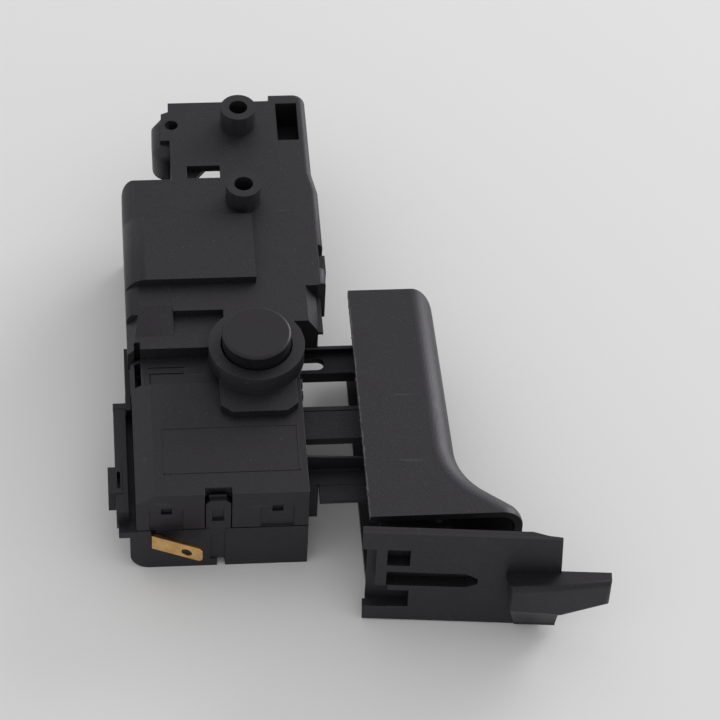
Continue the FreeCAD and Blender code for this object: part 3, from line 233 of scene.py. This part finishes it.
def plain(name, colour, metallic, roughness):
    tree = Tree(name)
    cloud = tree.noise(400, 3, 0.55)
    body = tree.mix(cloud, (*[c * 0.8 for c in colour], 1), (*colour, 1))
    tree.join(body, tree.shader.inputs["Base Color"])
    tree.shader.inputs["Metallic"].default_value = metallic
    tree.join(tree.ramp(cloud, 0.3, 0.7, roughness - 0.06, roughness + 0.06), tree.shader.inputs["Roughness"])
    tree.join(tree.bump(tree.noise(1500, 2, 0.5), 0.15, 0.00005), tree.shader.inputs["Normal"])
    return tree.material


CASE_NYLON = moulded_nylon("case nylon", 0.0055, 0.5)
COVER_NYLON = moulded_nylon("cover nylon", 0.0065, 0.48, grain=0.8, dust=1.2)
FINISHES = {
    "black_nylon": CASE_NYLON,
    "black_button": moulded_nylon("button nylon", 0.0045, 0.38, grain=0.3, dust=0.35, scuffs=0.6),
    "inner_nylon": moulded_nylon("inner nylon", 0.006, 0.42, grain=0.3, dust=0.5),
    "brass": stamped_brass("stamped brass"),
    "spring_steel": plain("spring steel", (0.52, 0.52, 0.53), 1.0, 0.3),
    "capacitor_case": plain("capacitor case", (0.6, 0.4, 0.05), 0.0, 0.35),
    "tinned_copper": plain("tinned copper", (0.6, 0.58, 0.55), 1.0, 0.35),
}
OWN_FINISH = {
    "mounting_cover": COVER_NYLON,
    "rear_housing": COVER_NYLON,
    "lock_housing": COVER_NYLON,
    "trigger_shell": moulded_nylon("trigger nylon", 0.0075, 0.43, grain=0.7, dust=0.8, scuffs=1.3,
                                   extra=worn_parting_edge),
    # painted light: the plunger is the same black nylon, given a lighter colour to stand in for light falling on its
    # top between the case and the trigger
    "plunger": moulded_nylon("arm nylon painted lighter", 0.018, 0.48, grain=0.4, dust=0.5),
    "end_shield": moulded_nylon("shield nylon", 0.006, 0.52, grain=0.4, dust=0.6, extra=brown_parting_line),
}
for row in frame["record"]["subparts"]:
    node = NODES[row["node"]]
    node.data.materials.clear()
    node.data.materials.append(OWN_FINISH.get(row["node"], FINISHES[row["material_slot"]]))


# ---------------------------------------------------------------- edges of the moulded pieces
EASED_EDGES = {
    "case_top": 0.16, "case_base": 0.12, "mounting_cover": 0.2, "rear_housing": 0.2, "lock_housing": 0.16,
    "lower_guide_rail": 0.12, "upper_guide_arm": 0.12, "plunger": 0.15, "trigger_shell": 0.22,
    "end_shield": 0.18, "side_bracket": 0.18, "front_terminal": 0.12,
}


def ease_edges(name, width):
    """A moulded piece has no knife edges: its own mesh is welded, its flats are joined, its edges rounded."""
    node = NODES[name]
    weld = node.modifiers.new("weld", "WELD")
    weld.merge_threshold = 0.002 * MM
    flats = node.modifiers.new("flats", "DECIMATE")
    flats.decimate_type = "DISSOLVE"
    flats.angle_limit = math.radians(0.4)
    bevel = node.modifiers.new("edges", "BEVEL")
    bevel.width = width * MM
    bevel.segments = 2
    bevel.limit_method = "ANGLE"
    bevel.angle_limit = math.radians(38)
    bevel.use_clamp_overlap = True
    bevel.harden_normals = True


# ---------------------------------------------------------------- pieces added to the solids
def bar(mesh, low, high, ease=0.0):
    """A bar between two corners, in millimetres, with eased edges."""
    middle = [(a + b) / 2 * MM for a, b in zip(low, high)]
    size = [(b - a) * MM for a, b in zip(low, high)]
    made = bmesh.ops.create_cube(mesh, size=1.0, matrix=Matrix.Translation(middle) @ Matrix.Diagonal((*size, 1)))
    if ease:
        edges = list({edge for point in made["verts"] for edge in point.link_edges})
        bmesh.ops.bevel(mesh, geom=edges, offset=ease * MM, segments=2, affect="EDGES", profile=0.5)


def piece(name, mesh, finish, body):
    data = bpy.data.meshes.new(name)
    bmesh.ops.recalc_face_normals(mesh, faces=mesh.faces)
    mesh.to_mesh(data)
    mesh.free()
    item = bpy.data.objects.new(name, data)
    bpy.context.scene.collection.objects.link(item)
    data.materials.append(finish)
    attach(item, body)
    return item


def label_frame():
    """The raised thin frame round the bare marking field on top of the case."""
    mesh = bmesh.new()
    left, right, front, back = -22.4, 8.3, -32.0, -19.0
    wide, proud = 0.28, 0.10
    low, high = CASE_TOP - 0.2, CASE_TOP + proud
    for start, end in (((left, back), (right, back + wide)), ((left, front), (right, front + wide)),
                       ((left, front), (left + wide, back)), ((right - wide, front), (right, back))):
        bar(mesh, (*start, low), (*end, high), 0.04)
    piece("label_frame", mesh, CASE_NYLON, "housing")


def snap_hooks():
    """Small catches of the case's upper shell along its right wall."""
    mesh = bmesh.new()
    for back, rise in ((-1.0, 24.3), (-4.6, 24.9), (-7.6, 24.2)):
        bar(mesh, (CASE_RIGHT - 0.3, back - 1.6, rise - 2.2), (CASE_RIGHT + 0.45, back, rise), 0.12)
    piece("snap_hooks", mesh, CASE_NYLON, "housing")


def bracket_cap():
    """The slightly proud cap at the rear end of the side bracket's upright."""
    mesh = bmesh.new()
    bar(mesh, (-33.15, -5.4, 15.6), (-30.2, -3.75, 17.12), 0.12)
    piece("bracket_cap", mesh, CASE_NYLON, "housing")


def window_rib():
    """The slanted rib that shows through the left half of the cover's wire window."""
    mesh = bmesh.new()
    corners = ((-14.4, 56.9), (-12.0, 56.9), (-8.25, 61.6), (-14.4, 61.6))
    rings = [[mesh.verts.new((x * MM, y * MM, level * MM)) for x, y in corners] for level in (26.4, 27.6)]
    mesh.faces.new(rings[0][::-1])
    mesh.faces.new(rings[1])
    for i in range(4):
        mesh.faces.new((rings[0][i], rings[0][(i + 1) % 4], rings[1][(i + 1) % 4], rings[1][i]))
    piece("window_rib", mesh, COVER_NYLON, "housing")


def ejector_marks():
    """Round marks of the mould's ejector pins on the back wall of the rear housing, on a grid of points."""
    group = bpy.data.node_groups.new("ejector marks", "GeometryNodeTree")
    group.interface.new_socket("Geometry", in_out="OUTPUT", socket_type="NodeSocketGeometry")
    sockets = {}
    for word, start in (("Mark radius", 1.3 * MM), ("Mark height", 0.12 * MM), ("Field width", 26 * MM),
                        ("Field rise", 8 * MM)):
        made = group.interface.new_socket(word, in_out="INPUT", socket_type="NodeSocketFloat")
        made.default_value = start
        sockets[word] = made.identifier
    words = group.nodes.new("NodeGroupInput")
    last = group.nodes.new("NodeGroupOutput")
    grid = group.nodes.new("GeometryNodeMeshGrid")
    grid.inputs["Vertices X"].default_value = 4
    grid.inputs["Vertices Y"].default_value = 2
    group.links.new(words.outputs["Field width"], grid.inputs["Size X"])
    group.links.new(words.outputs["Field rise"], grid.inputs["Size Y"])
    disc = group.nodes.new("GeometryNodeMeshCylinder")
    disc.inputs["Vertices"].default_value = 24
    group.links.new(words.outputs["Mark radius"], disc.inputs["Radius"])
    group.links.new(words.outputs["Mark height"], disc.inputs["Depth"])
    spread = group.nodes.new("GeometryNodeInstanceOnPoints")
    group.links.new(grid.outputs["Mesh"], spread.inputs["Points"])
    group.links.new(disc.outputs["Mesh"], spread.inputs["Instance"])
    real = group.nodes.new("GeometryNodeRealizeInstances")
    group.links.new(spread.outputs["Instances"], real.inputs[0])
    coat = group.nodes.new("GeometryNodeSetMaterial")
    coat.inputs["Material"].default_value = CASE_NYLON
    group.links.new(real.outputs[0], coat.inputs["Geometry"])
    group.links.new(coat.outputs[0], last.inputs[0])

    seed = bpy.data.objects.new("marks seed", bpy.data.meshes.new("marks seed"))
    bpy.context.scene.collection.objects.link(seed)
    modifier = seed.modifiers.new("marks", "NODES")
    modifier.node_group = group
    modifier[sockets["Mark radius"]] = 1.3 * MM
    modifier[sockets["Mark height"]] = 0.12 * MM
    modifier[sockets["Field width"]] = 26.0 * MM
    modifier[sockets["Field rise"]] = 8.0 * MM
    graph = bpy.context.evaluated_depsgraph_get()
    data = bpy.data.meshes.new_from_object(seed.evaluated_get(graph))
    seed.modifiers.clear()
    bpy.data.objects.remove(seed)
    middle = Vector(((CASE_LEFT + CASE_RIGHT) / 2 * MM, HOUSING_BACK * MM, 10 * MM))
    data.transform(Matrix.Translation(middle) @ Matrix.Rotation(math.radians(90), 4, "X"))
    item = bpy.data.objects.new("ejector_marks", data)
    bpy.context.scene.collection.objects.link(item)
    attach(item, "housing")


def live_spring(node):
    """A coil's stand-in: a merged copy of the solid's mesh takes its place, carried by the housing."""
    source = NODES[node]
    mesh = bmesh.new()
    mesh.from_mesh(source.data)
    mesh.transform(source.matrix_world)
    bmesh.ops.remove_doubles(mesh, verts=mesh.verts, dist=0.002 * MM)
    item = piece(f"{node}_coil", mesh, FINISHES["spring_steel"], "housing")
    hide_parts(node)
    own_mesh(item)


def trigger_flash():
    """Thin torn flash left along the parting edge of the trigger's left rim."""
    draw = random.Random(7)
    mesh = bmesh.new()
    place = -46.5
    while place < 17.5:
        long = draw.uniform(0.5, 2.2)
        reach = draw.uniform(0.06, 0.28)
        points = [(TRIGGER_LEFT + 0.1, place), (TRIGGER_LEFT - reach * draw.uniform(0.3, 1), place + long * 0.3),
                  (TRIGGER_LEFT - reach, place + long * 0.7), (TRIGGER_LEFT + 0.1, place + long)]
        rings = []
        for level in (TRIGGER_TOP - 0.24, TRIGGER_TOP - 0.16):
            rings.append([mesh.verts.new((x * MM, y * MM, level * MM)) for x, y in points])
        mesh.faces.new(rings[0][::-1])
        mesh.faces.new(rings[1])
        for i in range(4):
            mesh.faces.new((rings[0][i], rings[0][(i + 1) % 4], rings[1][(i + 1) % 4], rings[1][i]))
        place += long + draw.uniform(0.1, 1.6)
    piece("trigger_flash", mesh, OWN_FINISH["trigger_shell"], "trigger")


# ---------------------------------------------------------------- floor, light and camera
def backdrop():
    mesh = bpy.data.meshes.new("floor")
    half = 3.0
    mesh.from_pydata([(-half, -half, 0), (half, -half, 0), (half, half, 0), (-half, half, 0)], [], [(0, 1, 2, 3)])
    floor = bpy.data.objects.new("floor", mesh)
    bpy.context.scene.collection.objects.link(floor)
    tree = Tree("white floor")
    tree.shader.inputs["Base Color"].default_value = (0.86, 0.86, 0.86, 1)
    tree.shader.inputs["Roughness"].default_value = 0.9
    tree.shader.inputs["Specular IOR Level"].default_value = 0.1
    mesh.materials.append(tree.material)


def studio():
    world = bpy.data.worlds.new("studio")
    world.use_nodes = True
    nodes = world.node_tree.nodes
    nodes["Background"].inputs["Color"].default_value = (1, 1, 1, 1)
    nodes["Background"].inputs["Strength"].default_value = 0.68
    bpy.context.scene.world = world


def lamp(name, place, aim, size, power):
    data = bpy.data.lights.new(name, "AREA")
    data.shape = "RECTANGLE"
    data.size, data.size_y = size
    data.energy = power
    item = bpy.data.objects.new(name, data)
    bpy.context.scene.collection.objects.link(item)
    item.location = place
    item.rotation_euler = (Vector(aim) - Vector(place)).to_track_quat("-Z", "Y").to_euler()


def camera():
    pitch, yaw, roll = (math.radians(angle) for angle in (48.9405, -6.98325, 3.51094))
    turn = Matrix(((math.cos(yaw), math.sin(yaw), 0), (-math.sin(yaw), math.cos(yaw), 0), (0, 0, 1)))
    right = Vector((1, 0, 0))
    ahead = Vector((0, math.cos(pitch), -math.sin(pitch)))
    down = ahead.cross(right)
    basis = Matrix((right, down, ahead)) @ turn
    tilt = Matrix(((math.cos(roll), -math.sin(roll), 0), (math.sin(roll), math.cos(roll), 0), (0, 0, 1)))
    right, down, ahead = (row.copy() for row in (tilt @ basis))
    data = bpy.data.cameras.new("camera")
    data.sensor_width = 36
    data.lens = 163.8
    data.clip_start = 0.05
    item = bpy.data.objects.new("camera", data)
    bpy.context.scene.collection.objects.link(item)
    item.matrix_world = Matrix.Translation((-0.03631, -0.49201, 0.59440)) @ Matrix(
        (right, -down, -ahead)).transposed().to_4x4()
    bpy.context.scene.camera = item


for name, width in EASED_EDGES.items():
    ease_edges(name, width)
label_frame()
snap_hooks()
bracket_cap()
window_rib()
ejector_marks()
trigger_flash()
live_spring("return_spring")
live_spring("lock_spring")
backdrop()
studio()
lamp("key lamp", (0.93, 0.85, 0.43), (0, 0, 0), (0.65, 0.65), 8)
camera()
bpy.context.scene.view_settings.view_transform = "Standard"
